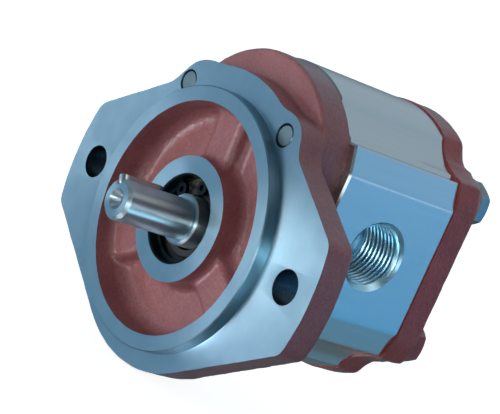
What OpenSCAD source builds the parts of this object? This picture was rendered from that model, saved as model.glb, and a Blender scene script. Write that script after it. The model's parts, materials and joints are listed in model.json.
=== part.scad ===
// External gear pump, two-bolt flange mounting, keyed drive shaft.
// The origin is the centre of the pilot on the mounting face.
// The drive shaft points along -Y, +X is the right-hand port and +Z points to the driven gear.

/* [Mounting flange] */
// Diameter of the locating pilot
pilot_d = 82.55; // [80:0.05:84]
// Height of the pilot in front of the mounting face
pilot_h = 4.5; // [3:0.5:6.5]
// Distance between the two mounting holes
flange_pitch = 106.4; // [105:0.1:108]
// Diameter of a mounting hole
flange_hole_d = 10.5; // [9:0.5:11.5]
// Length of the flange from ear tip to ear tip
flange_len = 130; // [126:1:134]
// Thickness of the flange plate
flange_t = 10; // [8:0.5:12]
// Radius of the round middle of the flange
flange_r = 47; // [45.5:0.5:48]
// Half the angle of an ear's tapered flanks
flank_angle = 31; // [28:1:34]

/* [Covers] */
// Depth from the mounting face to the front of the pump body
front_depth = 20; // [19:0.5:24]
// Thickness of the rear cover's plate
rear_t = 10; // [8:0.5:14]
// Extra height of the rear cover's bolt bosses
boss_h = 1; // [0.5:0.5:3]
// Radius of the recess inside the pilot
recess_r = 36.4; // [35:0.2:37.5]
// How far the recess floor lies behind the mounting face
recess_floor = 6; // [4:0.5:7]
// Radius of the boss around the shaft seal
seal_boss_r = 19.6; // [18:0.2:21]
// Width of each of the three ribs in the recess
rib_w = 13; // [8:1:16]

/* [Pump body] */
// Depth of the body between the two covers
body_depth = 46; // [46:1:60]
// Width across the two port faces
body_w = 74; // [73:1:78]
// Radius of the upper and lower lobes
lobe_r = 38; // [37:0.5:39]

/* [Ports] */
// Diameter of the port thread, over its crests
port_d = 20.955; // [16:0.005:21.5]
// Depth of the threaded part of a port
port_depth = 19; // [10:1:19]
// Diameter of the passage from a port to the gears
passage_d = 13; // [8:1:15]

/* [Gears] */
// Module of the gear teeth
gear_module = 2.25; // [2.25:0.01:2.26]
// Number of teeth on each gear
teeth = 12; // [12:1:12]
// Pressure angle of the teeth
pressure_angle = 25; // [24:1:26]
// Width of each gear
gear_w = 19.9; // [16:0.1:19.9]
// Thinning of each tooth flank, for backlash
backlash = 0.05; // [0.03:0.01:0.1]

/* [Shafts] */
// Diameter of the drive shaft's keyed end
shaft_d = 12.7; // [12:0.1:13]
// Length of the drive shaft in front of the mounting face
shaft_len = 27; // [26:1:40]
// Diameter of the four journals
journal_d = 16; // [15:0.5:16]
// Direction of the key around the shaft, from +X towards +Z
key_angle = 114; // [0:1:359]
// Width and height of the key
key_s = 3.17; // [3:0.01:3.2]
// Length of the key
key_len = 16; // [12:1:18]

/* [Fasteners] */
// Sideways distance of the tie bolts from the middle
bolt_x = 26; // [25.5:0.5:26.5]
// Vertical distance of the tie bolts from the middle of the body
bolt_z = 24; // [23.5:0.5:24.5]
// Diameter of the tie bolts
bolt_d = 8; // [7:1:8]

/* [Hidden] */
$fn = 96;
eps = 0.5;

// Places along the pump axis
body_y0 = front_depth;
body_y1 = front_depth + body_depth;
mid_y = (body_y0 + body_y1) / 2;
rear_y = body_y1 + rear_t;
washer_t = 1.5;
seat_y = rear_y + boss_h;
head_y = seat_y + washer_t;

// Gear geometry
pitch_r = gear_module * teeth / 2;
centres = 2 * pitch_r;
mid_z = pitch_r;
base_r = pitch_r * cos(pressure_angle);
tip_r = pitch_r + gear_module;
root_r = pitch_r - 1.25 * gear_module;
pocket_r = tip_r + 0.05;
gear_y0 = mid_y - gear_w / 2;
gear_y1 = mid_y + gear_w / 2;
side_gap = 0.05;
end_gap = 0.5;
shaft_step_y = -2;
key_sink = 1.8;
key_tip_gap = 0.2;
key_base = shaft_d / 2 - key_sink;
key_gap = 0.01;
key_y1 = -shaft_len + key_tip_gap + key_len;

// Bearings
journal_r = journal_d / 2;
liner_r = journal_r + 1;
liner_bore_r = journal_r + 0.02;
bush_r = pocket_r - 0.02;
flat_gap = 0.01;
front_bush = [body_y0, gear_y0 - side_gap];
rear_bush = [gear_y1 + side_gap, body_y1];

// Seals
seal_bore_r = 13.8;
seal_boss_h = 2.4;
seal_y0 = 3;
seal_y1 = 10;
cover_bore_r = 9;
clip_y = 0.6;
clip_t = 1.2;
clip_gap = 20;
spring_ring_r = 11;
spring_wire_r = 0.6;
body_seal_r = pocket_r + 2.4;
body_seal_w = 1.8;
body_seal_h = 1.6;
face_seal_r = 14;
face_seal_w = 1.4;
face_seal_h = 1.4;
backup_h = 0.8;

// Outline of the body and the covers
cover_half_w = 33.3;
cover_r = 39;
cover_shift = 5.5;
lobe_shift = 7;
port_face_half = 21;
taper_x = 3;
taper_z = 29.5;
waist_r = 17;
waist = [34.5, 47];
rear_lip = 0.5;
ear_corner_r = 5;
right_lobe = [26.3, 36.3, 7.3];
left_lobe = [-18.5, 33.5, 12.6];
top_bulge = 1.8;
section_y = flange_t - 1;
rib_angles = [93, 210, 330];
rib_top = 1.5;
port_chamfer = 0.5;

// Fasteners
head_lobe_r = 9.5;
head_w = 15;
head_h = 5.3;
washer_r = 7.9;
bolt_gap = 0.2;
bolt_end_r = 3.5;
bolt_fit = 0.03;
upper_end_y = 0.2;
lower_end_y = 9.5;
dowel_x = 24;
dowel_r = 3;
dowel_len = 10;
dowel_gap = 0.5;

// Helpers: the pump axis is Y, so flat outlines are drawn as (x, z) and run along Y.
module along(y0, y1) {
    translate([0, y1, 0]) rotate([90, 0, 0]) linear_extrude(y1 - y0) children();
}

module rod(x, z, r, y0, y1) {
    translate([x, y1, z]) rotate([90, 0, 0]) cylinder(r = r, h = y1 - y0);
}

module turned(z) {
    translate([0, 0, z]) rotate([-90, 0, 0]) rotate_extrude() children();
}

module at_bolts(sides = [-1, 1]) {
    for (x = [-1, 1], s = sides) translate([x * bolt_x, 0, mid_z + s * bolt_z]) children();
}

module both_gears() {
    for (z = [0, centres]) translate([0, z]) children();
}

// Flat outlines
module flange_outline() {
    corner = flange_len / 2 - ear_corner_r;
    turn = 90 - flank_angle - acos((flange_r - ear_corner_r) / corner);
    hull() {
        circle(r = flange_r);
        for (x = [-1, 1], z = [-1, 1])
            translate([x * corner * cos(turn), z * corner * sin(turn)]) circle(r = ear_corner_r);
        polygon([for (x = [-1, 1], i = [-4:4])
            x * flange_len / 2 * [cos(turn * i / 4), sin(turn * i / 4)]]);
    }
    intersection() {
        circle(r = flange_r + top_bulge);
        translate([-bolt_x, 0]) square([2 * bolt_x, 60]);
    }
    for (p = [left_lobe, right_lobe]) translate([p[0], p[1]]) circle(r = p[2]);
}

module cover_outline() {
    translate([0, mid_z]) intersection() {
        union() {
            for (s = [-1, 1]) translate([0, s * cover_shift]) circle(r = cover_r);
        }
        square([2 * cover_half_w, 120], center = true);
    }
}

// Two lobes and two flat sides, each side with a taper above and below its flat part
module lobed_block(half_w, flat_half, top, r) {
    edge = half_w - taper_x;
    polygon([for (s = [-1, 1], p = [[edge, -top], [half_w, -flat_half], [half_w, flat_half], [edge, top]])
        s * p]);
    for (s = [-1, 1]) intersection() {
        translate([0, s * lobe_shift]) circle(r = r);
        translate([-edge, s > 0 ? 0 : -60]) square([2 * edge, 60]);
    }
}

module waists(r) {
    for (x = [-1, 1], z = [-1, 1]) translate([x * waist[0], z * waist[1]]) circle(r = r);
}

module body_outline() {
    translate([0, mid_z]) difference() {
        lobed_block(body_w / 2, port_face_half, taper_z, lobe_r);
        waists(waist_r);
    }
}

module rear_outline() {
    translate([0, mid_z])
        lobed_block(body_w / 2 + rear_lip, bolt_z, taper_z + 2 * rear_lip, lobe_r + rear_lip);
}

module gear_pocket() {
    both_gears() circle(r = pocket_r);
}

module body_seal_outline() {
    difference() {
        both_gears() circle(r = body_seal_r + body_seal_w);
        both_gears() circle(r = body_seal_r);
    }
}

module face_seal_outline() {
    intersection() {
        difference() {
            both_gears() circle(r = face_seal_r);
            both_gears() circle(r = face_seal_r - face_seal_w);
        }
        translate([-4, -20]) square([24, centres + 40]);
    }
}

// Involute teeth
function inv(a) = tan(a) * 180 / PI - a;
function half_tooth(r) = 90 / teeth - backlash / pitch_r * 180 / PI + inv(pressure_angle)
    - (r > base_r ? inv(acos(base_r / r)) : 0);
flank = [root_r, base_r, for (i = [1:6]) base_r + (tip_r - base_r) * i / 6];
function polar(r, a) = [r * cos(a), r * sin(a)];

module gear_outline(turn) {
    polygon([for (i = [0:teeth - 1]) let (a = turn + i * 360 / teeth)
        each concat([for (r = flank) polar(r, a - half_tooth(r))],
            [for (k = [len(flank) - 1:-1:0]) polar(flank[k], a + half_tooth(flank[k]))])]);
}

// Covers and body
module front_cover() {
    color("firebrick") difference() {
        union() {
            difference() {
                union() {
                    along(0, flange_t) flange_outline();
                    along(section_y, body_y0) cover_outline();
                    rod(0, 0, pilot_d / 2, -pilot_h, eps);
                }
                rod(0, 0, recess_r, -pilot_h - 1, recess_floor);
            }
            rod(0, 0, seal_boss_r, -seal_boss_h, recess_floor + eps);
            along(rib_top, recess_floor + eps) for (a = rib_angles)
                rotate(a) translate([0, -rib_w / 2]) square([recess_r + 1.5, rib_w]);
        }
        turned(0) polygon([[0, -4], [seal_bore_r + 0.4, -4], [seal_bore_r + 0.4, -seal_boss_h],
            [seal_bore_r, -seal_boss_h + 0.4], [seal_bore_r, clip_y], [seal_bore_r + 0.8, clip_y],
            [seal_bore_r + 0.8, clip_y + clip_t + 0.1], [seal_bore_r, clip_y + clip_t + 0.1],
            [seal_bore_r, seal_y1], [cover_bore_r, seal_y1], [cover_bore_r, body_y0 + 1],
            [0, body_y0 + 1]]);
        for (x = [-1, 1]) {
            rod(x * flange_pitch / 2, 0, flange_hole_d / 2, -1, flange_t + 1);
            rod(x * dowel_x, mid_z, dowel_r, body_y0 - dowel_len / 2 - dowel_gap, body_y0 + 1);
        }
        at_bolts([1]) rod(0, 0, bolt_end_r, -1, body_y0 + 1);
        at_bolts([-1]) rod(0, 0, bolt_end_r, lower_end_y - 1, body_y0 + 1);
    }
}

module port(side) {
    translate([0, mid_y, mid_z]) rotate([0, side * 90, 0]) union() {
        translate([0, 0, 4]) cylinder(d = passage_d, h = body_w / 2);
        translate([0, 0, body_w / 2 - port_depth]) cylinder(d = port_d, h = port_depth + 1);
        translate([0, 0, body_w / 2 - port_chamfer])
            cylinder(r1 = port_d / 2, r2 = port_d / 2 + 2 * port_chamfer, h = 2 * port_chamfer);
    }
}

module pump_body() {
    color("lightsteelblue") difference() {
        along(body_y0, body_y1) body_outline();
        along(body_y0 - 1, body_y1 + 1) gear_pocket();
        along(body_y0 - 1, body_y0 + body_seal_h) body_seal_outline();
        along(body_y1 - body_seal_h, body_y1 + 1) body_seal_outline();
        for (side = [-1, 1]) {
            port(side);
            rod(side * dowel_x, mid_z, dowel_r, body_y0 - 1, body_y0 + dowel_len / 2 + dowel_gap);
            rod(side * dowel_x, mid_z, dowel_r, body_y1 - dowel_len / 2 - dowel_gap, body_y1 + 1);
        }
        at_bolts() rod(0, 0, bolt_d / 2 + bolt_gap, body_y0 - 1, body_y1 + 1);
    }
}

module rear_cover() {
    color("firebrick") difference() {
        union() {
            along(body_y1, rear_y) rear_outline();
            at_bolts() rod(0, 0, head_lobe_r, rear_y - eps, seat_y);
        }
        along(body_y1 - 1, seat_y + 1) translate([0, mid_z]) waists(waist_r - rear_lip);
        at_bolts() rod(0, 0, bolt_d / 2 + bolt_gap, body_y1 - 1, seat_y + 1);
        for (x = [-1, 1])
            rod(x * dowel_x, mid_z, dowel_r, body_y1 - 1, body_y1 + dowel_len / 2 + dowel_gap);
    }
}

// Gears and shafts: a round-ended bar along the shaft, from y0 to y1
module keyway_shape(w, r0, r1, y0, y1) {
    rotate([0, -key_angle, 0]) translate([r0, 0, 0]) rotate([0, 90, 0]) union() {
        for (y = [y0 + w / 2, y1 - w / 2]) translate([0, y, 0]) cylinder(d = w, h = r1 - r0);
        translate([-w / 2, y0 + w / 2, 0]) cube([w, y1 - y0 - w, r1 - r0]);
    }
}

module drive_gear_shaft() {
    r = shaft_d / 2;
    y = -shaft_len;
    color("silver") difference() {
        union() {
            turned(0) polygon([[0, y], [r - 1, y], [r, y + 1], [r, shaft_step_y],
                [journal_r - 0.6, shaft_step_y], [journal_r, shaft_step_y + 0.6],
                [journal_r, body_y1 - end_gap - 1], [journal_r - 1, body_y1 - end_gap],
                [0, body_y1 - end_gap]]);
            along(gear_y0, gear_y1) gear_outline(90);
        }
        turned(0) polygon([[0, y - 1], [4.2, y - 1], [3.2, y], [1.5, y + 2.9], [1.5, y + 7], [0, y + 8]]);
        keyway_shape(key_s + 2 * key_gap, key_base, r + 2, y - key_s, key_y1 + key_gap);
    }
}

module driven_gear_shaft() {
    color("silver") union() {
        turned(centres) polygon([[0, body_y0 + end_gap], [journal_r - 1, body_y0 + end_gap],
            [journal_r, body_y0 + end_gap + 1], [journal_r, body_y1 - end_gap - 1],
            [journal_r - 1, body_y1 - end_gap], [0, body_y1 - end_gap]]);
        along(gear_y0, gear_y1) translate([0, centres]) gear_outline(90 + 180 / teeth);
    }
}

module shaft_key() {
    color("gainsboro") keyway_shape(key_s, key_base, key_base + key_s, key_y1 - key_len, key_y1);
}

// Bearings: each bushing is round with a flat towards its neighbour.
module bushing(z, y0, y1, seal_y) {
    flat_z = z > 0 ? mid_z - 60 + flat_gap : mid_z;
    color("darkgoldenrod") difference() {
        rod(0, z, bush_r, y0, y1);
        translate([-30, y0 - 1, flat_z]) cube([60, y1 - y0 + 2, 60]);
        rod(0, z, liner_r, y0 - 1, y1 + 1);
        along(seal_y - face_seal_h - backup_h, seal_y + face_seal_h + backup_h) face_seal_outline();
    }
}

module bearing_liner(z, y0, y1) {
    color("peru") difference() {
        rod(0, z, liner_r, y0, y1);
        rod(0, z, liner_bore_r, y0 - 1, y1 + 1);
    }
}

module bushing_front_drive() { bushing(0, front_bush[0], front_bush[1], body_y0); }
module bushing_front_driven() { bushing(centres, front_bush[0], front_bush[1], body_y0); }
module bushing_rear_drive() { bushing(0, rear_bush[0], rear_bush[1], body_y1); }
module bushing_rear_driven() { bushing(centres, rear_bush[0], rear_bush[1], body_y1); }
module bearing_liner_front_drive() { bearing_liner(0, front_bush[0], front_bush[1]); }
module bearing_liner_front_driven() { bearing_liner(centres, front_bush[0], front_bush[1]); }
module bearing_liner_rear_drive() { bearing_liner(0, rear_bush[0], rear_bush[1]); }
module bearing_liner_rear_driven() { bearing_liner(centres, rear_bush[0], rear_bush[1]); }

// Seals
module body_seal_front() {
    color("dimgray") along(body_y0, body_y0 + body_seal_h) body_seal_outline();
}

module body_seal_rear() {
    color("dimgray") along(body_y1 - body_seal_h, body_y1) body_seal_outline();
}

module pressure_seal_front() {
    color("dimgray") along(body_y0, body_y0 + face_seal_h) face_seal_outline();
}

module pressure_seal_rear() {
    color("dimgray") along(body_y1 - face_seal_h, body_y1) face_seal_outline();
}

module backup_ring_front() {
    y = body_y0 + face_seal_h;
    color("ivory") along(y, y + backup_h) face_seal_outline();
}

module backup_ring_rear() {
    y = body_y1 - face_seal_h;
    color("ivory") along(y - backup_h, y) face_seal_outline();
}

module shaft_seal_case() {
    color("darkslategray") turned(0) polygon([[10.6, seal_y0], [seal_bore_r, seal_y0],
        [seal_bore_r, seal_y1], [12.8, seal_y1], [12.8, seal_y0 + 1], [10.6, seal_y0 + 1]]);
}

module shaft_seal_lip() {
    color("black") turned(0) polygon([[8.7, seal_y0 - 0.4], [10.6, seal_y0 - 0.4], [10.6, seal_y0 + 1],
        [12.8, seal_y0 + 1], [12.8, seal_y0 + 2], [10.4, seal_y0 + 2.4], [10.2, seal_y0 + 6.2],
        [9, seal_y0 + 6.2], [journal_r + 0.05, seal_y0 + 5], [9.2, seal_y0 + 2.6]]);
}

module shaft_seal_spring() {
    color("silver") turned(0) translate([spring_ring_r, seal_y0 + 4.9]) circle(r = spring_wire_r, $fn = 32);
}

module seal_retaining_ring() {
    ear = [11.1, 113];
    color("slategray") along(clip_y, clip_y + clip_t) difference() {
        union() {
            difference() {
                circle(r = seal_bore_r + 0.7);
                circle(r = 12.1);
                rotate(ear[1]) polygon([[0, 0], 30 * [cos(clip_gap), sin(clip_gap)], [40, 0],
                    30 * [cos(clip_gap), -sin(clip_gap)]]);
            }
            for (s = [-1, 1]) rotate(ear[1] + s * (clip_gap + 5)) translate([ear[0], 0]) circle(r = 2.2);
        }
        for (s = [-1, 1]) rotate(ear[1] + s * (clip_gap + 5)) translate([ear[0], 0]) circle(r = 1);
    }
}

// Fasteners
module dowels(y) {
    color("silver") for (x = [-1, 1])
        rod(x * dowel_x, mid_z, dowel_r - 0.01, y - dowel_len / 2, y + dowel_len / 2);
}

module front_dowels() { dowels(body_y0); }
module rear_dowels() { dowels(body_y1); }

module tie_bolt(end_y) {
    top = head_y + head_h;
    rod(0, 0, bolt_end_r - bolt_fit, end_y, body_y0 + eps);
    rod(0, 0, bolt_d / 2 - bolt_fit, body_y0, head_y + eps);
    intersection() {
        translate([0, top, 0]) rotate([90, 0, 0]) cylinder(d = head_w, h = head_h, $fn = 6);
        turned(0) polygon([[0, head_y], [8, head_y], [8, top - 0.7], [6.6, top], [0, top]]);
    }
}

module tie_bolts() {
    color("teal") union() {
        at_bolts([1]) tie_bolt(upper_end_y);
        at_bolts([-1]) tie_bolt(lower_end_y);
    }
}

module bolt_washers() {
    color("slategray") at_bolts() difference() {
        rod(0, 0, washer_r, seat_y, head_y);
        rod(0, 0, bolt_d / 2 + bolt_gap, seat_y - 1, head_y + 1);
    }
}

front_cover();
pump_body();
rear_cover();
drive_gear_shaft();
driven_gear_shaft();
shaft_key();
bushing_front_drive();
bushing_front_driven();
bushing_rear_drive();
bushing_rear_driven();
bearing_liner_front_drive();
bearing_liner_front_driven();
bearing_liner_rear_drive();
bearing_liner_rear_driven();
body_seal_front();
body_seal_rear();
pressure_seal_front();
pressure_seal_rear();
backup_ring_front();
backup_ring_rear();
shaft_seal_case();
shaft_seal_lip();
shaft_seal_spring();
seal_retaining_ring();
front_dowels();
rear_dowels();
tie_bolts();
bolt_washers();
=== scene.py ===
"""Looks of the gear pump: castings, milled body, threads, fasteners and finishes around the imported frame.

Sizes are in millimetres until a mesh is made. The pump's axis is Y, so flat outlines are drawn in x and z.
"""
import json
import math

import bpy
import numpy as np
from mathutils import Matrix, Vector


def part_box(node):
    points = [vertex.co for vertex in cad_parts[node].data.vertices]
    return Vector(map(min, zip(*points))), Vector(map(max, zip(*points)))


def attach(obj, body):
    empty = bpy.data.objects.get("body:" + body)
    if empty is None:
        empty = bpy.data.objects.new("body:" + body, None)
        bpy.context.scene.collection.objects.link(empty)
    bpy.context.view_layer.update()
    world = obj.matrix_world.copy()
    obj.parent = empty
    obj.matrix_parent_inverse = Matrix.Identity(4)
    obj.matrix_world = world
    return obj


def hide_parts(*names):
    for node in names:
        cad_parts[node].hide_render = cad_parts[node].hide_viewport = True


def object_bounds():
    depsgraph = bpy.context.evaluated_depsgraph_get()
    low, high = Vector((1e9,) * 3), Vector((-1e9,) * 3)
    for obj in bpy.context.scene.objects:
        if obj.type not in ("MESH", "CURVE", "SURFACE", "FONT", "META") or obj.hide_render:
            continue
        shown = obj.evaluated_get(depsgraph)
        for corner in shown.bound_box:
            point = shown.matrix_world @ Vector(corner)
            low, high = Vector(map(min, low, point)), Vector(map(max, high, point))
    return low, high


MM = 0.001
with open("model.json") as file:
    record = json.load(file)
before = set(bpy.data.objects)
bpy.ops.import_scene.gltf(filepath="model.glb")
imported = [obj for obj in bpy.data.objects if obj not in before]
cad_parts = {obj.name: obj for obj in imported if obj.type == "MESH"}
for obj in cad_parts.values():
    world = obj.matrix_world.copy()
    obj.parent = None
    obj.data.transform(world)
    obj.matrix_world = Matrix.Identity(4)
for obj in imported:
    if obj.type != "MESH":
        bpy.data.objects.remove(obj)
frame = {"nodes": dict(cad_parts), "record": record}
cad_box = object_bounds()


# ---------- Sizes read from the frame ----------

def node_box(name):
    """A CAD node's lowest and highest corner, in millimetres."""
    return [np.array(corner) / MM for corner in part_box(name)]


mounts = {m["name"]: m for m in frame["record"]["mounts"]}
pilot_r = mounts["pilot"]["dims"]["r_mm"]
hole_r = mounts["flange_bolts"]["dims"]["hole_r_mm"]
hole_x = mounts["flange_bolts"]["dims"]["spacing_x_mm"] / 2
port_r = mounts["port_right"]["dims"]["r_mm"]
port_y, mid_z = [c / MM for c in mounts["port_right"]["pos_m"][1:]]
shaft_r = mounts["drive_shaft"]["dims"]["r_mm"]

cover_lo, cover_hi = node_box("front_cover")
body_lo, body_hi = node_box("pump_body")
rear_lo, rear_hi = node_box("rear_cover")
washer_lo, washer_hi = node_box("bolt_washers")
bolts_lo, bolts_hi = node_box("tie_bolts")
pilot_h = -cover_lo[1]
body_y0, body_y1 = body_lo[1], body_hi[1]
body_w = body_hi[0]
rear_boss_h = 1
rear_y = rear_hi[1] - rear_boss_h
seat_y, head_y, top_y = washer_lo[1], washer_hi[1], bolts_hi[1]
washer_r = 7.9
bolt_x = washer_hi[0] - washer_r
bolt_z = washer_hi[2] - washer_r - mid_z
bolt_r, bolt_hole_r, bolt_end_r = 4, 4.2, 3.5
centres = 2 * mid_z
bolt_places = [(x, mid_z + z, side, level) for x, side in ((-bolt_x, "left"), (bolt_x, "right"))
               for z, level in ((bolt_z, "upper"), (-bolt_z, "lower"))]

# Casting and outline sizes that the frame's boxes don't give
flange_t, flange_r, flank_angle, ear_corner_r = 10, 47, 31, 5
left_lobe, right_lobe = (-18.5, 33.5, 12.6), (26.3, 36.3, 7.3)
flange_len = 2 * cover_hi[0]
cover_lobe_z, cover_lobe_r, cover_w = 5.5, 39, 33.3
recess_r, recess_floor, recess_corner_r, seal_boss_r, seal_boss_y = 36.4, 6, 4.5, 19.6, -2.4
draft_slope, rib_slope = 0.06, 0.2
rib_angles, rib_w, rib_top, rib_round = (93, 210, 330), 13, 1.5, 2.5
seal_bore_r, seal_y1, cover_bore_r = 13.8, 10, 9
clip_y, clip_t = 0.6, 1.2
pocket_r, passage_r, port_depth = 15.8, 6.5, 19
dowel_x, dowel_r, dowel_depth, tapping_y = 24, 3, 5.5, 8.5
body_waist_r, rear_waist_r = 17, 16.5
waist = (34.5, 47)  # where each hollow corner of the body and rear cover is centred, from the middle
past = 2  # how far a cutter runs past the face that it opens
wide = 120  # a radius that takes in the whole pump
AS_MADE, MACHINED, BORED = range(3)  # the material slots of the castings; the body uses the first two


# ---------- Distance fields: negative inside, in millimetres ----------

def blend_min(a, b, k):
    """Union of two fields with a fillet about k wide where they meet."""
    h = np.maximum(k - np.abs(a - b), 0) / k
    return np.minimum(a, b) - h * h * k / 4


def blend_max(a, b, k):
    """Intersection of two fields with an edge rounded about k wide."""
    return -blend_min(-a, -b, k)


def disc(x, z, cx, cz, r):
    """Distance to a circle about (cx, cz)."""
    return np.hypot(x - cx, z - cz) - r


def inside_polygon(points, x, z):
    """Distance to a convex polygon whose points go anticlockwise in x and z."""
    p = np.array(points, float)
    best = np.full(np.broadcast(x, z).shape, np.inf)
    side = np.full(best.shape, -np.inf)
    for a, b in zip(p, np.roll(p, -1, 0)):
        d = b - a
        t = np.clip(((x - a[0]) * d[0] + (z - a[1]) * d[1]) / (d @ d), 0, 1)
        best = np.minimum(best, np.hypot(x - a[0] - t * d[0], z - a[1] - t * d[1]))
        side = np.maximum(side, ((x - a[0]) * d[1] - (z - a[1]) * d[0]) / np.hypot(*d))
    return np.where(side < 0, -best, best)


def slab(flat, y, y0, y1, r):
    """A flat outline's field carried from y0 to y1, with its edges rounded to radius r."""
    a = flat + r
    b = np.abs(y - (y0 + y1) / 2) - (y1 - y0) / 2 + r
    return np.minimum(np.maximum(a, b), 0) + np.hypot(np.maximum(a, 0), np.maximum(b, 0)) - r


def arc(cx, cz, r, a0, a1, steps):
    """Points along an arc, with its angles in degrees."""
    return [(cx + r * math.cos(math.radians(a)), cz + r * math.sin(math.radians(a)))
            for a in np.linspace(a0, a1, steps)]


def flange_flat(x, z):
    """The mounting flange: a round middle, two tapered ears and two bolt lobes."""
    corner = flange_len / 2 - ear_corner_r
    turn = 90 - flank_angle - math.degrees(math.acos((flange_r - ear_corner_r) / corner))
    cx, cz = corner * math.cos(math.radians(turn)), corner * math.sin(math.radians(turn))
    lean = 90 - flank_angle
    ear = arc(0, 0, flange_len / 2, 0, turn, 5) + arc(cx, cz, ear_corner_r, turn, lean, 6)[1:]
    top = arc(0, 0, flange_r, lean, 180 - lean, 60)
    upper = ear + top + [(-a, b) for a, b in reversed(ear)]
    hull = inside_polygon(upper + [(-a, -b) for a, b in upper[1:-1]], x, z)
    bulge = blend_max(disc(x, z, 0, 0, flange_r + 1.8), np.maximum(np.abs(x) - bolt_x, -z), 2)
    flat = blend_min(hull, bulge, 1)
    return blend_min(blend_min(flat, disc(x, z, *left_lobe), 4), disc(x, z, *right_lobe), 5)


def cover_flat(x, z):
    """The block behind the flange, which the body is bolted to."""
    upper = disc(x, z, 0, mid_z + cover_lobe_z, cover_lobe_r)
    lower = disc(x, z, 0, mid_z - cover_lobe_z, cover_lobe_r)
    return blend_max(np.minimum(upper, lower), np.abs(x) - cover_w, 3)


def lobed_block(x, z, half_w, flat_half, top, lobe_r, waist_r, crease):
    """Two lobes, a flat side with tapers above and below it, and a hollow waist at each corner."""
    lobe_z, inset, height = 7, 3, top - flat_half
    ax, az = np.abs(x), np.abs(z - mid_z)
    taper = ((ax - half_w) * height + (az - flat_half) * inset) / math.hypot(height, inset)
    block = np.maximum(blend_max(ax - half_w, taper, crease), az - top)
    lobes = np.maximum(disc(ax, az, 0, lobe_z, lobe_r), ax - (half_w - inset))
    return blend_max(np.minimum(block, lobes), -disc(ax, az, *waist, waist_r), crease)


def body_flat(x, z):
    """The extruded body, with a port in each flat side."""
    return lobed_block(x, z, body_w, flat_half=21, top=29.5, lobe_r=38, waist_r=body_waist_r, crease=0.2)


def rear_flat(x, z):
    """The rear cover, a little larger than the body all round."""
    return lobed_block(x, z, rear_hi[0], bolt_z, top=30.5, lobe_r=38.5, waist_r=rear_waist_r, crease=0.8)


def front_casting(x, y, z):
    """The front cover as cast, with stock left for the faces that are machined."""
    flange_y0, pilot_y0, recess_y0, stock = -12, -9, -30, 2
    block = slab(cover_flat(x, z), y, flange_t - 1, body_y0 + 6, 1)
    cast = blend_min(slab(flange_flat(x, z), y, flange_y0, flange_t, 0.8), block, 0.9)
    radius = np.hypot(x, z)
    draft = draft_slope * (y + pilot_h)
    recess = slab(radius - recess_r + draft, y, recess_y0, recess_floor, recess_corner_r)
    pilot = slab(radius - pilot_r - stock, y, pilot_y0, stock, 0.5)
    cast = np.maximum(blend_min(cast, pilot, 1), -recess)
    boss = np.maximum(radius - seal_boss_r - draft * 0.7, seal_boss_y - stock - y)
    inner = np.maximum(boss, y - body_y0)
    for angle in np.radians(rib_angles):
        along = x * math.cos(angle) + z * math.sin(angle)
        side = np.abs(-x * math.sin(angle) + z * math.cos(angle))
        ridge = blend_max(side - rib_w / 2 - rib_slope * (y - rib_top), rib_top - y, rib_round)
        rib = blend_max(ridge, np.maximum(-along, along - recess_r - 3), 0.5)
        inner = blend_min(inner, np.maximum(rib, y - body_y0), rib_round)
    return blend_min(cast, inner, 3)


def rear_casting(x, y, z):
    """The rear cover as cast: a plate with rounded edges and a low boss around each bolt."""
    edge_r, boss_r, stock = 2, 9.3, 0.6
    plate = slab(rear_flat(x, z), y, body_y1 - 6, rear_y, edge_r)
    ax, az = np.abs(x), np.abs(z - mid_z)
    spot = np.maximum(disc(ax, az, bolt_x, bolt_z, boss_r), -disc(ax, az, *waist, rear_waist_r))
    return blend_min(plate, slab(spot, y, body_y1, seat_y + stock, 0.5), 1.5)


# ---------- Meshes ----------

def new_object(name, verts, faces, materials, slots=None):
    """A mesh object from vertices in millimetres."""
    mesh = bpy.data.meshes.new(name)
    mesh.from_pydata((np.asarray(verts, float) * MM).tolist(), [], faces)
    for m in materials:
        mesh.materials.append(m)
    if slots is not None:
        mesh.polygons.foreach_set("material_index", slots)
    mesh.update()
    obj = bpy.data.objects.new(name, mesh)
    bpy.context.scene.collection.objects.link(obj)
    return obj


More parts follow.
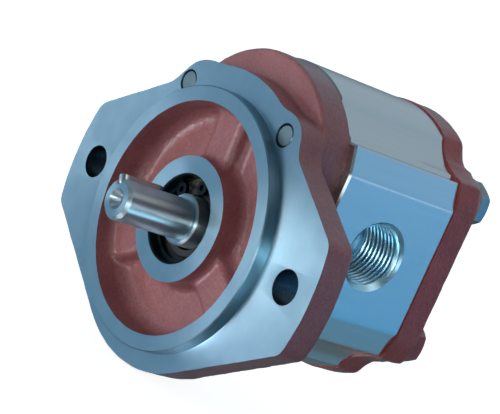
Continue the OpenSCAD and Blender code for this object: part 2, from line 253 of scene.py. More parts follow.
def surface_net(field, lo, hi, step):
    """Vertices and quads along the zero level of a field, sampled every step from lo to hi.
    The rim of the grid counts as outside, so the surface is closed where the field runs past it."""
    lo = np.array(lo, float)
    axes = [np.arange(a, b + step, step) for a, b in zip(lo, hi)]
    d = field(axes[0][:, None, None], axes[1][None, :, None], axes[2][None, None, :])
    for axis in range(3):
        rim = np.moveaxis(d, axis, 0)
        rim[[0, -1]] = np.maximum(rim[[0, -1]], step / 2)
    n = np.array(d.shape) - 1

    def corner(c):
        return d[c[0]:n[0] + c[0], c[1]:n[1] + c[1], c[2]:n[2] + c[2]]

    corners = [np.array(c) for c in np.ndindex(2, 2, 2)]
    inside = sum((corner(c) < 0).astype(np.int8) for c in corners)
    cells = np.argwhere((inside > 0) & (inside < 8))
    index = np.full(n, -1)
    index[tuple(cells.T)] = np.arange(len(cells))
    total, hits = np.zeros((len(cells), 3)), np.zeros((len(cells), 1))
    for axis in range(3):
        unit = np.eye(3, dtype=int)[axis]
        for c in corners:
            if c[axis]:
                continue
            d0, d1 = d[tuple((cells + c).T)], d[tuple((cells + c + unit).T)]
            crossed = (d0 < 0) != (d1 < 0)
            t = np.where(crossed, d0 / np.where(crossed, d0 - d1, 1), 0)
            total += crossed[:, None] * (c + t[:, None] * unit)
            hits += crossed[:, None]
    verts = lo + (cells + total / hits) * step
    quads = []
    for axis in range(3):
        u, v = np.eye(3, dtype=int)[(axis + 1) % 3], np.eye(3, dtype=int)[(axis + 2) % 3]
        ahead = np.eye(3, dtype=int)[axis]
        start = d[:n[0] + 1 - ahead[0], :n[1] + 1 - ahead[1], :n[2] + 1 - ahead[2]] < 0
        end = d[ahead[0]:, ahead[1]:, ahead[2]:] < 0
        for change, order in ((start & ~end, (0, 1, 2, 3)), (~start & end, (3, 2, 1, 0))):
            edges = np.argwhere(change)
            ring = [index[tuple((edges - off).T)] for off in (u + v, v, 0 * u, u)]
            quads.append(np.stack([ring[k] for k in order], 1))
    return verts, np.concatenate(quads)


def lumps(points, size, seed):
    """Smooth random values from -1 to 1, with bumps about size millimetres across."""
    table = np.random.default_rng(seed).uniform(-1, 1, (32, 32, 32))
    cell = np.floor(points / size).astype(int)
    t = points / size - cell
    t = t * t * (3 - 2 * t)
    total = np.zeros(len(points))
    for c in np.ndindex(2, 2, 2):
        weight = np.prod(np.where(c, t, 1 - t), 1)
        total += weight * table[tuple(((cell + c) % 32).T)]
    return total


def cast_object(name, field, lo, hi, step, materials):
    """A sand-cast blank: the field's surface with the grain of the mould pressed into it."""
    verts, quads = surface_net(field, lo, hi, step)
    obj = new_object(name, verts, quads.tolist(), materials)
    normals = np.zeros(len(verts) * 3)
    obj.data.vertices.foreach_get("normal", normals)
    grain = 0.07 * lumps(verts, 3.1, 1) + 0.045 * lumps(verts, 1.3, 2)
    verts = verts + normals.reshape(-1, 3) * grain[:, None]
    obj.data.vertices.foreach_set("co", (verts * MM).ravel())
    obj.data.update()
    return obj


def rings_object(name, rings, materials, slot=AS_MADE, capped=True):
    """A closed tube through rings of points, with its ends closed by a fan or a flat cap."""
    count = len(rings[0])
    verts = np.concatenate(rings)
    faces = []
    for k in range(len(rings) - 1):
        for i in range(count):
            j = (i + 1) % count
            faces.append((k * count + i, k * count + j, (k + 1) * count + j, (k + 1) * count + i))
    if capped:
        faces.append(tuple(range(count))[::-1])
        faces.append(tuple(range((len(rings) - 1) * count, len(rings) * count)))
    return new_object(name, verts, faces, materials, [slot] * len(faces))


def turned(name, profile, centre, materials, slot, segments=128):
    """A solid turned about Y from a profile of (radius, y) points. Its ends lie on the axis."""
    angles = np.linspace(0, 2 * math.pi, segments, endpoint=False)
    unit = np.stack([np.cos(angles), 0 * angles, -np.sin(angles)], 1)
    rings = [np.array([centre[0], y, centre[1]]) + max(r, 1e-4) * unit for r, y in profile]
    return rings_object(name, rings, materials, slot)


def plug(name, r, y0, y1, centre, materials, slot, segments=64):
    """A plain cylinder along Y, to cut a hole or a face with."""
    return turned(name, [(0, y0), (r, y0), (r, y1), (0, y1)], centre, materials, slot, segments)


def outline(flat, level, centre, rays=720):
    """Points where a flat field reaches level, along rays from a centre."""
    angles = np.linspace(0, 2 * math.pi, rays, endpoint=False)
    near, far = np.zeros(rays), np.full(rays, 90.0)  # brackets the outline, and is halved to meet it
    for _ in range(40):
        middle = (near + far) / 2
        out = flat(centre[0] + middle * np.cos(angles), centre[1] + middle * np.sin(angles)) > level
        near, far = np.where(out, near, middle), np.where(out, middle, far)
    return centre[0] + near * np.cos(angles), centre[1] + near * np.sin(angles)


def extruded(name, flat, y0, y1, edges, centre, materials):
    """A flat field's outline carried along Y, with its two end edges broken by small chamfers."""
    rings = []
    for level, y in ((-edges[0], y0), (0, y0 + edges[0]), (0, y1 - edges[1]), (-edges[1], y1)):
        x, z = outline(flat, level, centre)
        rings.append(np.stack([x, np.full(len(x), y), z], 1)[::-1])
    return rings_object(name, rings, materials)


def cut(piece, *cutters):
    """Takes the cutters away from a piece. A cut face keeps the cutter's material slot."""
    for cutter in cutters:
        modifier = piece.modifiers.new("cut", "BOOLEAN")
        modifier.operation = "DIFFERENCE"
        modifier.solver = "MANIFOLD"
        modifier.object = cutter
        view = bpy.context.evaluated_depsgraph_get()
        result = bpy.data.meshes.new_from_object(piece.evaluated_get(view))
        piece.modifiers.clear()
        piece.data = result
        bpy.data.objects.remove(cutter)
    return piece


def shade(piece, angle=30):
    """Smooth shading, with sharp edges at corners and where one finish meets another."""
    mesh = piece.data
    mesh.shade_smooth()
    mesh.set_sharp_from_angle(angle=math.radians(angle))
    slots = np.zeros(len(mesh.polygons), int)
    mesh.polygons.foreach_get("material_index", slots)
    if slots.any():
        face_of_loop = np.repeat(np.arange(len(slots)), [p.loop_total for p in mesh.polygons])
        edge_of_loop = np.zeros(len(mesh.loops), int)
        mesh.loops.foreach_get("edge_index", edge_of_loop)
        low, high = np.full(len(mesh.edges), 99), np.full(len(mesh.edges), -1)
        np.minimum.at(low, edge_of_loop, slots[face_of_loop])
        np.maximum.at(high, edge_of_loop, slots[face_of_loop])
        for i in np.nonzero(low != high)[0]:
            mesh.edges[i].use_edge_sharp = True
    return piece


def place(piece, body, node):
    """Puts a finished piece on its body, in the place of a CAD node."""
    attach(piece, body)
    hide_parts(node)


# ---------- Materials ----------

class Tree:
    """A short way to write a node tree."""

    def __init__(self, owner):
        owner.use_nodes = True
        self.tree = owner.node_tree

    def add(self, kind, **settings):
        node = self.tree.nodes.new(kind)
        for key, value in settings.items():
            setattr(node, key, value)
        return node

    def link(self, source, target):
        self.tree.links.new(source, target)

    def maths(self, operation, a, b=0.0):
        node = self.add("ShaderNodeMath", operation=operation)
        for socket, value in zip(node.inputs, (a, b)):
            if isinstance(value, (int, float)):
                socket.default_value = value
            else:
                self.link(value, socket)
        return node.outputs[0]


class Nodes(Tree):
    """A material, with its numbers set on the shader and its patterns linked to it."""

    def __init__(self, name, **inputs):
        self.material = bpy.data.materials.new(name)
        super().__init__(self.material)
        self.shader = self.tree.nodes["Principled BSDF"]
        for socket, value in inputs.items():
            self.shader.inputs[socket.replace("_", " ")].default_value = value
        self.position = self.add("ShaderNodeTexCoord").outputs["Object"]

    def stretched(self, x, y, z):
        """The object's coordinates, scaled along each axis to features of that many millimetres."""
        node = self.add("ShaderNodeMapping")
        node.inputs["Scale"].default_value = [1 / (size * MM) for size in (x, y, z)]
        self.link(self.position, node.inputs["Vector"])
        return node.outputs["Vector"]

    def noise(self, vector, detail=2.0, roughness=0.5):
        node = self.add("ShaderNodeTexNoise")
        node.inputs["Scale"].default_value = 1
        node.inputs["Detail"].default_value = detail
        node.inputs["Roughness"].default_value = roughness
        self.link(vector, node.inputs["Vector"])
        return node.outputs["Fac"]

    def from_axis(self, step, centre=(0, 0)):
        """Rings about a line along Y, one every step millimetres, as a coordinate for noise."""
        split = self.add("ShaderNodeSeparateXYZ")
        self.link(self.position, split.inputs[0])
        x = self.maths("SUBTRACT", split.outputs["X"], centre[0] * MM)
        z = self.maths("SUBTRACT", split.outputs["Z"], centre[1] * MM)
        squares = self.maths("MULTIPLY", x, x), self.maths("MULTIPLY", z, z)
        radius = self.maths("SQRT", self.maths("ADD", *squares))
        joined = self.add("ShaderNodeCombineXYZ")
        self.link(self.maths("DIVIDE", radius, step * MM), joined.inputs["X"])
        self.link(self.maths("DIVIDE", split.outputs["Y"], step * MM), joined.inputs["Y"])
        return joined.outputs["Vector"]

    def ramp(self, factor, *stops):
        """A colour from a factor, by two stops of (factor, colour)."""
        node = self.add("ShaderNodeValToRGB")
        for element, (at, colour) in zip(node.color_ramp.elements, stops):
            element.position = at
            element.color = (*colour, 1)
        self.link(factor, node.inputs["Fac"])
        return node.outputs["Color"]

    def span(self, factor, low, high):
        """A factor from 0 to 1 carried to the range low to high."""
        node = self.add("ShaderNodeMapRange")
        node.inputs["To Min"].default_value = low
        node.inputs["To Max"].default_value = high
        self.link(factor, node.inputs["Value"])
        return node.outputs["Result"]

    def colour(self, source):
        self.link(source, self.shader.inputs["Base Color"])
        return self

    def rough(self, source):
        self.link(source, self.shader.inputs["Roughness"])
        return self

    def bump(self, *layers):
        """Bumps from (height, depth in millimetres) layers, chained into the shader's normal."""
        normal = None
        for height, depth in layers:
            node = self.add("ShaderNodeBump")
            node.inputs["Distance"].default_value = depth * MM
            self.link(height, node.inputs["Height"])
            if normal is not None:
                self.link(normal, node.inputs["Normal"])
            normal = node.outputs["Normal"]
        self.link(normal, self.shader.inputs["Normal"])
        self.link(normal, self.shader.inputs["Coat Normal"])
        return self

    def brushed(self):
        """Stretches highlights along tangents that circle the pump's axis."""
        tangent = self.add("ShaderNodeTangent", direction_type="RADIAL", axis="Y")
        self.link(tangent.outputs["Tangent"], self.shader.inputs["Tangent"])
        return self


def painted_iron(name, dark, light):
    """Gloss red oxide over the grain of sand-cast iron."""
    n = Nodes(name, Coat_Weight=0.75, Coat_Roughness=0.13, Specular_IOR_Level=0.12)
    broad = n.noise(n.stretched(14, 14, 14), 3)
    fine = n.noise(n.stretched(0.9, 0.9, 0.9), 3, 0.6)
    patches = n.ramp(broad, (0.3, dark), (0.7, light))
    mix = n.add("ShaderNodeMix", data_type="RGBA", blend_type="MULTIPLY")
    mix.inputs["Factor"].default_value = 0.5
    n.link(patches, mix.inputs["A"])
    n.link(n.ramp(fine, (0.3, (0.6, 0.55, 0.55)), (0.65, (1.12, 1.1, 1.1))), mix.inputs["B"])
    n.colour(mix.outputs["Result"])
    n.rough(n.span(fine, 0.34, 0.5))
    n.bump((n.noise(n.stretched(2.4, 2.4, 2.4), 2), 0.12), (fine, 0.13),
           (n.noise(n.stretched(0.45, 0.45, 0.45), 1), 0.045))
    return n.material


def machined_iron():
    """Grey iron turned on a lathe: fine rings about the pilot's axis. Its blue tint is a painted reflection
    of the blue studio light.
    """
    n = Nodes("machined_iron", Metallic=1.0, Anisotropic=0.8, Anisotropic_Rotation=0.25)
    rings = n.noise(n.from_axis(0.22), 2, 0.6)
    cloud = n.noise(n.stretched(9, 9, 9), 4, 0.6)
    n.colour(n.ramp(cloud, (0.3, (0.26, 0.40, 0.49)), (0.7, (0.31, 0.46, 0.55))))
    n.rough(n.span(cloud, 0.28, 0.36))
    n.bump((rings, 0.003), (n.noise(n.stretched(0.5, 0.5, 0.5), 2), 0.006))
    return n.brushed().material


def painted_shade_bore():
    """The walls of holes in the castings, painted near black: painted shade."""
    n = Nodes("painted_shade_bore", Metallic=1.0)
    marks = n.noise(n.stretched(1.2, 0.4, 1.2), 3)
    n.colour(n.ramp(marks, (0.3, (0.030, 0.050, 0.065)), (0.7, (0.060, 0.090, 0.11))))
    n.rough(n.span(marks, 0.3, 0.45))
    return n.material


def milled_aluminium():
    """Extruded aluminium, skimmed lengthwise: fine lines along Y."""
    n = Nodes("milled_aluminium", Metallic=1.0, Anisotropic=0.35)
    lines = n.noise(n.stretched(0.12, 30, 0.12), 3, 0.6)
    streaks = n.noise(n.stretched(1.6, 60, 1.6), 3, 0.55)
    n.colour(n.ramp(streaks, (0.3, (0.64, 0.67, 0.67)), (0.7, (0.68, 0.70, 0.69))))
    n.rough(n.span(streaks, 0.20, 0.28))
    n.bump((lines, 0.0025), (streaks, 0.003))
    return n.brushed().material


def cut_aluminium():
    """The bright turned surface of the port threads. Its cyan tint is a painted blue reflection."""
    n = Nodes("cut_aluminium", Metallic=1.0)
    marks = n.noise(n.stretched(0.25, 0.25, 0.25), 3)
    n.colour(n.ramp(marks, (0.3, (0.46, 0.70, 0.84)), (0.7, (0.56, 0.82, 0.95))))
    n.rough(n.span(marks, 0.28, 0.36))
    n.bump((marks, 0.001))
    return n.material


def steel(name, dark, light, low, high, centre=(0, 0), step=0.15, brush=0.0):
    """Turned or ground steel between two colours and two roughnesses, with rings about an axis."""
    depth = 0.003
    n = Nodes(name, Metallic=1.0, Anisotropic=brush, Anisotropic_Rotation=0.25)
    cloud = n.noise(n.stretched(5, 5, 5), 4, 0.6)
    n.colour(n.ramp(cloud, (0.3, dark), (0.7, light)))
    n.rough(n.span(cloud, low, high))
    rings = n.noise(n.from_axis(step, centre), 2, 0.6)
    n.bump((rings, depth), (n.noise(n.stretched(0.4, 0.4, 0.4), 2), depth))
    return n.brushed().material if brush else n.material


def rubber():
    """Black nitrile rubber with a fine moulded grain."""
    n = Nodes("rubber", Specular_IOR_Level=0.4)
    grain = n.noise(n.stretched(0.5, 0.5, 0.5), 3)
    n.colour(n.ramp(grain, (0.3, (0.012, 0.013, 0.013)), (0.7, (0.028, 0.030, 0.028))))
    n.rough(n.span(grain, 0.42, 0.6))
    n.bump((grain, 0.02))
    return n.material


def plastic():
    """The ivory plastic of the backup rings."""
    n = Nodes("backup_plastic", Specular_IOR_Level=0.45)
    grain = n.noise(n.stretched(0.8, 0.8, 0.8), 3)
    n.colour(n.ramp(grain, (0.3, (0.66, 0.62, 0.52)), (0.7, (0.74, 0.70, 0.60))))
    n.rough(n.span(grain, 0.4, 0.55))
    n.bump((grain, 0.01))
    return n.material


def seal_paint():
    """The olive coating on the front edge of the shaft seal."""
    n = Nodes("seal_paint", Specular_IOR_Level=0.5)
    grain = n.noise(n.stretched(0.6, 0.6, 0.6), 3)
    n.colour(n.ramp(grain, (0.3, (0.26, 0.30, 0.05)), (0.7, (0.38, 0.42, 0.09))))
    n.rough(n.span(grain, 0.3, 0.45))
    return n.material


# The front paint's paler, pinker tone is its own red plus painted sheen for the lit front faces. The rear
# paint is a deeper red without that painted sheen.
paint = painted_iron("painted_iron", (0.275, 0.106, 0.110), (0.345, 0.138, 0.142))
rear_paint = painted_iron("rear_paint", (0.33, 0.068, 0.062), (0.42, 0.092, 0.086))
iron, bore = machined_iron(), painted_shade_bore()
milled, bright = milled_aluminium(), cut_aluminium()
ground = steel("ground_steel", (0.54, 0.62, 0.66), (0.64, 0.71, 0.75), 0.34, 0.40, brush=0.9)
key_steel = steel("key_steel", (0.58, 0.64, 0.64), (0.68, 0.73, 0.72), 0.24, 0.34, step=0.5)
# Near black: painted shade for the seal's retaining ring and spring, which sit deep in the seal bore.
dark_steel = steel("dark_steel", (0.008, 0.014, 0.02), (0.022, 0.032, 0.042), 0.34, 0.48, step=0.3)
bolt_steel = steel("bolt_steel", (0.20, 0.27, 0.29), (0.28, 0.35, 0.37), 0.24, 0.36,
                   (bolt_x, mid_z + bolt_z), 0.3)
washer_steel = steel("washer_steel", (0.26, 0.31, 0.33), (0.36, 0.41, 0.43), 0.26, 0.4, step=0.4)
bushing_metal = steel("bushing_metal", (0.40, 0.37, 0.31), (0.50, 0.47, 0.40), 0.28, 0.42, step=0.3)
liner_metal = steel("liner_metal", (0.52, 0.33, 0.16), (0.62, 0.42, 0.22), 0.22, 0.36, step=0.3)
seal_rubber, backup_plastic, seal_coat = rubber(), plastic(), seal_paint()
front_finishes, rear_finishes, body_finishes = (paint, iron, bore), (rear_paint, iron, bore), (milled, bright)


# ---------- Front cover ----------

def machined_front():
    """What the lathe takes off the front: the flange face, the pilot and the seal boss's face."""
    edge, far, mid_recess = 0.35, -20, 28
    return turned("front_cutter", [
        (0, far), (wide, far), (wide, 0), (pilot_r + edge, 0), (pilot_r, -0.1), (pilot_r, edge - pilot_h),
        (pilot_r - edge, -pilot_h), (mid_recess, -pilot_h), (mid_recess, seal_boss_y), (0, seal_boss_y)],
        (0, 0), front_finishes, MACHINED, 256)


def seal_bore():
    """The bore for the shaft seal, with its retaining groove and the shaft's clearance bore behind it."""
    r, groove_r, edge = seal_bore_r, seal_bore_r + 0.8, 0.4
    groove_y1 = clip_y + clip_t + 0.1
    return turned("bore_cutter", [
        (0, seal_boss_y - past), (r + edge + past, seal_boss_y - past), (r + edge, seal_boss_y),
        (r, seal_boss_y + edge), (r, clip_y), (groove_r, clip_y), (groove_r, groove_y1), (r, groove_y1),
        (r, seal_y1), (cover_bore_r, seal_y1), (cover_bore_r, body_y0 + past), (0, body_y0 + past)],
        (0, 0), front_finishes, BORED)


def drilled(x, z, r, y0, y1, chamfer):
    """A drilled hole, chamfered where it opens at y0."""
    mouth_r, start = r + chamfer, y0 - 1
    return turned("drill", [
        (0, start), (mouth_r, start), (mouth_r, y0), (r, y0 + chamfer), (r, y1), (0, y1)],
        (x, z), front_finishes, BORED, 96)


def front_cover():
    """The casting, machined in front and where it meets the body, then drilled."""
    margin = 1.5
    lo = (cover_lo[0] - margin, -7, cover_lo[2] - margin)
    hi = (cover_hi[0] + margin, body_y0 + past, cover_hi[2] + margin)
    step = 0.55
    piece = cast_object("front_cover_casting", front_casting, lo, hi, step, front_finishes)
    joint_face = plug("joint_face", wide, body_y0, body_y0 + 20, (0, 0), front_finishes, AS_MADE)
    cut(piece, machined_front(), joint_face, seal_bore())
    for side in (-1, 1):
        cut(piece,
            drilled(side * hole_x, 0, hole_r, 0, flange_t + 8, 0.1),
            drilled(side * bolt_x, mid_z + bolt_z, bolt_end_r, 0, body_y0 + past, 0.25),
            plug("tapping", bolt_end_r, tapping_y, body_y0 + past, (side * bolt_x, mid_z - bolt_z),
                 front_finishes, BORED),
            plug("dowel_hole", dowel_r, body_y0 - dowel_depth, body_y0 + past, (side * dowel_x, mid_z),
                 front_finishes, BORED))
    place(shade(piece), "housing", "front_cover")


# ---------- Pump body ----------

def port_cutter(side):
    """A port: a chamfered mouth, a parallel thread cut as a helix, and the passage to the gears."""
    pitch, depth, chamfer = 1.814, 1.162, 0.8
    angles = np.linspace(0, 2 * math.pi, 128, endpoint=False)
    minor = port_r - depth

    def thread_r(t):
        phase = (t / pitch - angles / (2 * math.pi)) % 1
        crest = np.clip((1 - np.abs(2 * phase - 1) - 0.14) / 0.72, 0, 1)
        crest = crest * crest * (3 - 2 * crest) * 0.5 + crest * 0.5
        run_out = np.clip((port_depth - 1.2 - t) / 1.5, 0, 1)
        return np.maximum(minor + depth * crest * run_out, port_r + chamfer - t)

    profile = [(-past, port_r + chamfer + past)]
    profile += [(t, thread_r(t)) for t in np.arange(0, port_depth, pitch / 12)]
    profile += [(port_depth, minor), (port_depth + 0.1, passage_r), (body_w - 4, passage_r)]
    rings = []
    for t, r in profile:
        rings.append(np.stack([side * (body_w - t) + 0 * angles, port_y + side * r * np.cos(angles),
                               mid_z + r * np.sin(angles)], 1)[::-1])
    return rings_object("port_cutter", rings, body_finishes, MACHINED)


def pump_body():
    """The extrusion, with the gear pockets, the holes for bolts and dowels, and both ports."""
    front, rear, edges = body_y0 - past, body_y1 + past, (0.6, 0.4)
    piece = extruded("pump_body_extrusion", body_flat, body_y0, body_y1, edges, (0, mid_z), body_finishes)
    for z in (0, centres):
        cut(piece, plug("pocket", pocket_r, front, rear, (0, z), body_finishes, MACHINED, 128))
    for x, z, _, _ in bolt_places:
        cut(piece, plug("bolt_hole", bolt_hole_r, front, rear, (x, z), body_finishes, MACHINED))
    for side in (-1, 1):
        for y0, y1 in ((front, body_y0 + dowel_depth), (body_y1 - dowel_depth, rear)):
            cut(piece, plug("dowel_hole", dowel_r, y0, y1, (side * dowel_x, mid_z), body_finishes, MACHINED))
        cut(piece, port_cutter(side))
    place(shade(piece, 24), "housing", "pump_body")


# ---------- Rear cover ----------

def rear_cover():
    """The casting, faced where it meets the body and under each bolt's washer."""
    margin, seat_r, far = 1.5, 8.8, seat_y + 6
    lo = (rear_lo[0] - margin, body_y1 - past, rear_lo[2] - margin)
    hi = (rear_hi[0] + margin, rear_hi[1] + 2.5, rear_hi[2] + margin)
    step = 0.6
    piece = cast_object("rear_cover_casting", rear_casting, lo, hi, step, rear_finishes)
    cut(piece, plug("joint_face", wide, body_y1 - 20, body_y1, (0, 0), rear_finishes, AS_MADE))
    for x, z, _, _ in bolt_places:
        cut(piece, turned("spot_face", [
            (0, body_y1 - past), (bolt_hole_r, body_y1 - past), (bolt_hole_r, seat_y), (seat_r, seat_y),
            (seat_r, far), (0, far)], (x, z), rear_finishes, MACHINED, 96))
    for x in (-dowel_x, dowel_x):
        cut(piece, plug("dowel_hole", dowel_r, body_y1 - past, body_y1 + dowel_depth, (x, mid_z),
                        rear_finishes, BORED))
    place(shade(piece), "housing", "rear_cover")


# ---------- Fasteners ----------

def tie_bolt(name, x, z, end_y, painted):
    """A hexagon head bolt: a threaded end, a thicker shank, a washer face and a chamfered head."""
    flats, collar, pitch, depth = 6.5, 0.3, 1.25, 0.3
    end_r, shank_r = bolt_end_r - 0.03, bolt_r - 0.04
    angles = np.linspace(0, 2 * math.pi, 96, endpoint=False)
    hexagon = flats / np.cos((angles + math.pi / 6) % (math.pi / 3) - math.pi / 6)
    chamfer_y = top_y - 0.58 * np.maximum(hexagon - flats + 0.3, 0.1)
    profile = [(0.001, end_y), (bolt_end_r - 0.5, end_y), (bolt_end_r - 0.1, end_y + 0.4)]
    for y in np.arange(end_y + 0.7, body_y0 - 0.8, pitch / 8):
        phase = (y / pitch - angles / (2 * math.pi)) % 1
        profile.append((end_r - depth * np.abs(2 * phase - 1), y))
    profile += [(end_r, body_y0 - 0.5), (end_r, body_y0 + 0.02), (shank_r, body_y0 + 0.4), (shank_r, head_y),
                (flats - 0.15, head_y), (flats - 0.15, head_y + collar), (hexagon, head_y + collar),
                (hexagon, chamfer_y), (flats - 0.3, top_y), (0.001, top_y)]
    rings = [np.stack([x + r * np.cos(angles), y + 0 * angles, z - r * np.sin(angles)], 1)
             for r, y in profile]
    piece = rings_object(name, rings, (bolt_steel, rear_paint))
    if painted:
        head = [int(p.center.y > (head_y - 0.1) * MM) for p in piece.data.polygons]
        piece.data.polygons.foreach_set("material_index", head)
    return shade(piece, 25)


def tie_bolts():
    """Four bolts from the rear. The upper ones end in the flange's face, and one head is painted over."""
    ends = {"upper": bolts_lo[1], "lower": tapping_y + 1}
    for x, z, side, level in bolt_places:
        painted = (level, side) == ("lower", "right")
        piece = tie_bolt(f"tie_bolt_{level}_{side}", x, z, ends[level], painted)
        place(piece, "housing", "tie_bolts")


def hoop(name, profile, centre, materials, slots):
    """A ring turned about Y from a closed profile of (radius, y) points, with a finish for each band."""
    angles = np.linspace(0, 2 * math.pi, 96, endpoint=False)
    rings = [np.stack([centre[0] + r * np.cos(angles), y + 0 * angles, centre[1] - r * np.sin(angles)], 1)
             for r, y in profile + profile[:1]]
    piece = rings_object(name, rings, materials, capped=False)
    piece.data.polygons.foreach_set("material_index", np.repeat(slots, len(angles)))
    weld = piece.modifiers.new("weld", "WELD")
    weld.merge_threshold = 1e-6
    return shade(piece, 25)


def washers():
    """A plain washer under each bolt head."""
    r, hole, edge = washer_r, bolt_hole_r, 0.25
    profile = [(hole, seat_y), (r - edge, seat_y), (r, seat_y + edge), (r, head_y - edge), (r - edge, head_y),
               (hole, head_y)]
    for x, z, side, level in bolt_places:
        piece = hoop(f"washer_{level}_{side}", profile, (x, z), (washer_steel,), [0] * len(profile))
        place(piece, "housing", "bolt_washers")


def seal_case():
    """The shaft seal's case: rubber covered, with a coloured edge at the front."""
    y0, edge, wall = node_box("shaft_seal_case")[0][1], 0.55, 1
    mouth_r, inner_r = 10.6, seal_bore_r - wall
    profile = [(mouth_r, y0), (seal_bore_r - edge, y0), (seal_bore_r, y0 + edge), (seal_bore_r, seal_y1),
               (inner_r, seal_y1), (inner_r, y0 + wall), (mouth_r, y0 + wall)]
    piece = hoop("shaft_seal_case_ring", profile, (0, 0), (seal_rubber, seal_coat), [0, 1, 0, 0, 0, 0, 0])
    place(piece, "housing", "shaft_seal_case")


# ---------- Key ----------

def shaft_key():
    """The parallel key: round ends, and edges broken all round."""
    lo, hi = node_box("shaft_key")
    width, sunk = 3.17, 1.8
    angle = math.atan2(lo[2] + hi[2], lo[0] + hi[0])
    half = (hi[1] - lo[1]) / 2 - width / 2
    middle = (hi[1] + lo[1]) / 2

    def key_flat(a, b):
        return np.hypot(a - np.clip(a, -half, half), b) - width / 2

    out = np.array([math.cos(angle), 0, math.sin(angle)])
    across = np.array([-math.sin(angle), 0, math.cos(angle)])
    rings = []
    for level, height in ((-0.25, 0), (0, 0.25), (0, width - 0.4), (-0.12, width - 0.12), (-0.4, width)):
        a, b = outline(key_flat, level, (0, 0), 180)
        rings.append(a[:, None] * np.array([0, 1, 0]) + b[:, None] * across
                     + np.array([0, middle, 0]) + (shaft_r - sunk + height) * out)
    piece = rings_object("shaft_key_bar", rings, (key_steel,))
    place(shade(piece, 40), "drive", "shaft_key")


# ---------- Pieces whose CAD shape is kept ----------

def keep(material, *nodes):
    """Shows CAD nodes as they are, in a material."""
    for name in nodes:
        mesh = frame["nodes"][name].data
        mesh.materials.clear()
        mesh.materials.append(material)


def kept_nodes():
    """The drive shaft's end and shoulders look turned, and its round surfaces look ground."""
    spots = [f"{end}_{gear}" for end in ("front", "rear") for gear in ("drive", "driven")]
    keep(ground, "drive_gear_shaft", "driven_gear_shaft", "front_dowels", "rear_dowels")
    shaft = frame["nodes"]["drive_gear_shaft"].data
    # The flat ends take the iron finish, with its painted blue reflection.
    shaft.materials.append(iron)
    flat_ends = [int(abs(p.normal.y) > 0.9) for p in shaft.polygons]
    shaft.polygons.foreach_set("material_index", flat_ends)
    keep(bushing_metal, *[f"bushing_{spot}" for spot in spots])
    keep(liner_metal, *[f"bearing_liner_{spot}" for spot in spots])
    keep(seal_rubber, "body_seal_front", "body_seal_rear", "pressure_seal_front", "pressure_seal_rear",
         "shaft_seal_lip")
    keep(backup_plastic, "backup_ring_front", "backup_ring_rear")
    keep(dark_steel, "seal_retaining_ring", "shaft_seal_spring")


# ---------- Floor, light and camera ----------

def floor():
    """A pale floor. It takes shadows, and the studio's own light comes past it from all round."""
    n = Nodes("floor", Roughness=0.9, Specular_IOR_Level=0.1, Emission_Color=(1, 1, 1, 1),
              Emission_Strength=0.88)
    cloud = n.noise(n.stretched(400, 400, 400))
    n.colour(n.ramp(cloud, (0.3, (0.60, 0.61, 0.62)), (0.7, (0.62, 0.63, 0.64))))
    half = 20000
    sheet = new_object("floor", [(-half, -half, 0), (half, -half, 0), (half, half, 0), (-half, half, 0)],
                       [(0, 1, 2, 3)], (n.material,))
    sheet.location.z = cad_box[0][2] - 0.5 * MM
    sheet.visible_diffuse = sheet.visible_glossy = sheet.visible_shadow = False


class Sky(Tree):
    """The studio around the pump, as light that depends on direction only."""

    def __init__(self, colour):
        world = bpy.data.worlds.new("studio")
        bpy.context.scene.world = world
        super().__init__(world)
        self.direction = self.add("ShaderNodeTexCoord").outputs["Generated"]
        base = self.add("ShaderNodeCombineXYZ")
        for socket, value in zip(base.inputs, colour):
            socket.default_value = value
        self.total = base.outputs[0]

    def light(self, factor, colour, only):
        """Adds a colour, scaled by a factor. If only names one kind of ray, no other kind gets it."""
        if only:
            seen = self.add("ShaderNodeLightPath").outputs[f"Is {only} Ray"]
            factor = self.maths("MULTIPLY", factor, seen)
        scaled = self.add("ShaderNodeVectorMath", operation="SCALE")
        scaled.inputs[0].default_value = colour
        self.link(factor, scaled.inputs["Scale"])
        joined = self.add("ShaderNodeVectorMath")
        self.link(self.total, joined.inputs[0])
        self.link(scaled.outputs[0], joined.inputs[1])
        self.total = joined.outputs[0]

    def glow(self, direction, inner, outer, colour, only=None):
        """A soft round light: full inside one angle from a direction, gone outside another."""
        dot = self.add("ShaderNodeVectorMath", operation="DOT_PRODUCT")
        self.link(self.direction, dot.inputs[0])
        dot.inputs[1].default_value = Vector(direction).normalized()
        fade = self.add("ShaderNodeMapRange", interpolation_type="SMOOTHSTEP")
        fade.inputs["From Min"].default_value = math.cos(math.radians(outer))
        fade.inputs["From Max"].default_value = math.cos(math.radians(inner))
        self.link(dot.outputs["Value"], fade.inputs["Value"])
        self.light(fade.outputs["Result"], colour, only)

    def horizon(self, z, width, colour, only=None):
        """A band of light all round, from width below height z to width above it."""
        split = self.add("ShaderNodeSeparateXYZ")
        self.link(self.direction, split.inputs[0])
        near = self.add("ShaderNodeMath", operation="COMPARE")
        self.link(split.outputs["Z"], near.inputs[0])
        near.inputs[1].default_value, near.inputs[2].default_value = z, width
        self.light(near.outputs[0], colour, only)

    def finish(self):
        self.link(self.total, self.tree.nodes["Background"].inputs["Color"])


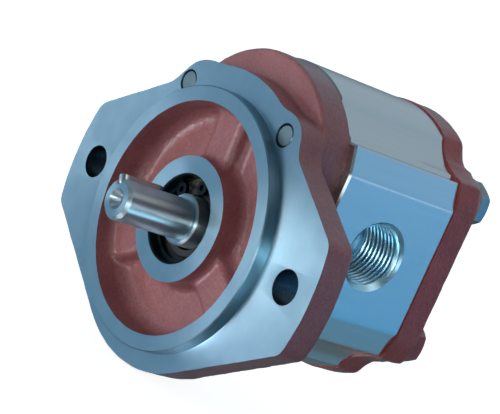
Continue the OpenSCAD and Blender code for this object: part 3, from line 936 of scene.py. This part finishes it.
def lights():
    """Soft lights round the pump. "Diffuse" ones light the paint alone. "Glossy" ones make reflections."""
    white = (1.1, 1.1, 1.1)
    sky = Sky((0.10, 0.14, 0.16))
    sky.horizon(0.012, 0.02, white)
    sky.horizon(0, 0.3, white, "Camera")
    # In front of the flange
    sky.glow((-0.35, -0.78, -0.52), 17, 27, (1.6, 1.5, 1.5), "Diffuse")
    sky.glow((-0.30, -0.78, -0.55), 5, 11, (12, 12, 13), "Glossy")
    sky.glow((-0.25, -0.95, -0.13), 7, 19, (4.6, 4.6, 4.6))
    sky.glow((-0.25, -0.95, -0.13), 7, 19, (2.6, 2.5, 2.5), "Diffuse")
    sky.glow((0.15, -0.96, 0.20), 15, 35, (1.4, 1.3, 1.3), "Diffuse")
    sky.glow((-0.80, -0.60, -0.10), 20, 55, (0.20, 0.31, 0.42), "Glossy")
    sky.glow((0.65, -0.75, -0.12), 8, 18, (1.4, 1.7, 1.8), "Glossy")
    # Beside the right-hand port
    sky.glow((0.35, 0.648, -0.68), 10, 25, (0.03, 0.10, 0.16), "Glossy")
    sky.glow((0.90, -0.10, 0.10), 20, 50, (0.24, 0.14, 0.14), "Diffuse")
    sky.glow((0.75, 0.64, -0.03), 20, 40, (0.0, 0.25, 0.56), "Glossy")
    sky.glow((0.75, 0.648, 0.13), 2, 7, (0.5, 0.4, 0.3), "Glossy")
    sky.glow((0.88, 0.14, -0.45), 5, 12, (3.8, 8.0, 10.0), "Glossy")
    sky.glow((0.95, -0.29, 0.05), 3, 10, (8.0, 10.0, 10.0), "Glossy")
    # Above
    sky.glow((0.58, 0.12, 0.80), 9, 18, (1.0, 1.0, 0.9), "Glossy")
    sky.glow((-0.10, 0.60, 0.80), 35, 60, (0.27, 0.33, 0.39))
    sky.finish()


def camera():
    """The view of the reference: from the front right, a little above, and rolled to one side."""
    azimuth, elevation, roll = [math.radians(a) for a in (49.28, 6.89, 24.29)]
    target, distance = Vector((25.04, 0, 14.16)), 612.94
    back = Vector((math.sin(azimuth) * math.cos(elevation), -math.cos(azimuth) * math.cos(elevation),
                   math.sin(elevation)))
    right = Vector((math.cos(azimuth), math.sin(azimuth), 0))
    x_axis = right * math.cos(roll) + back.cross(right) * math.sin(roll)
    data = bpy.data.cameras.new("camera")
    data.lens, data.sensor_width, data.clip_start = 151.2, 36, 0.01
    obj = bpy.data.objects.new("camera", data)
    bpy.context.scene.collection.objects.link(obj)
    turn = Matrix((x_axis, back.cross(x_axis), back)).transposed()
    obj.matrix_world = Matrix.Translation((target + back * distance) * MM) @ turn.to_4x4()
    bpy.context.scene.camera = obj


camera()
lights()
floor()
front_cover()
pump_body()
rear_cover()
tie_bolts()
washers()
shaft_key()
seal_case()
kept_nodes()
bpy.context.scene.view_settings.view_transform = "Standard"
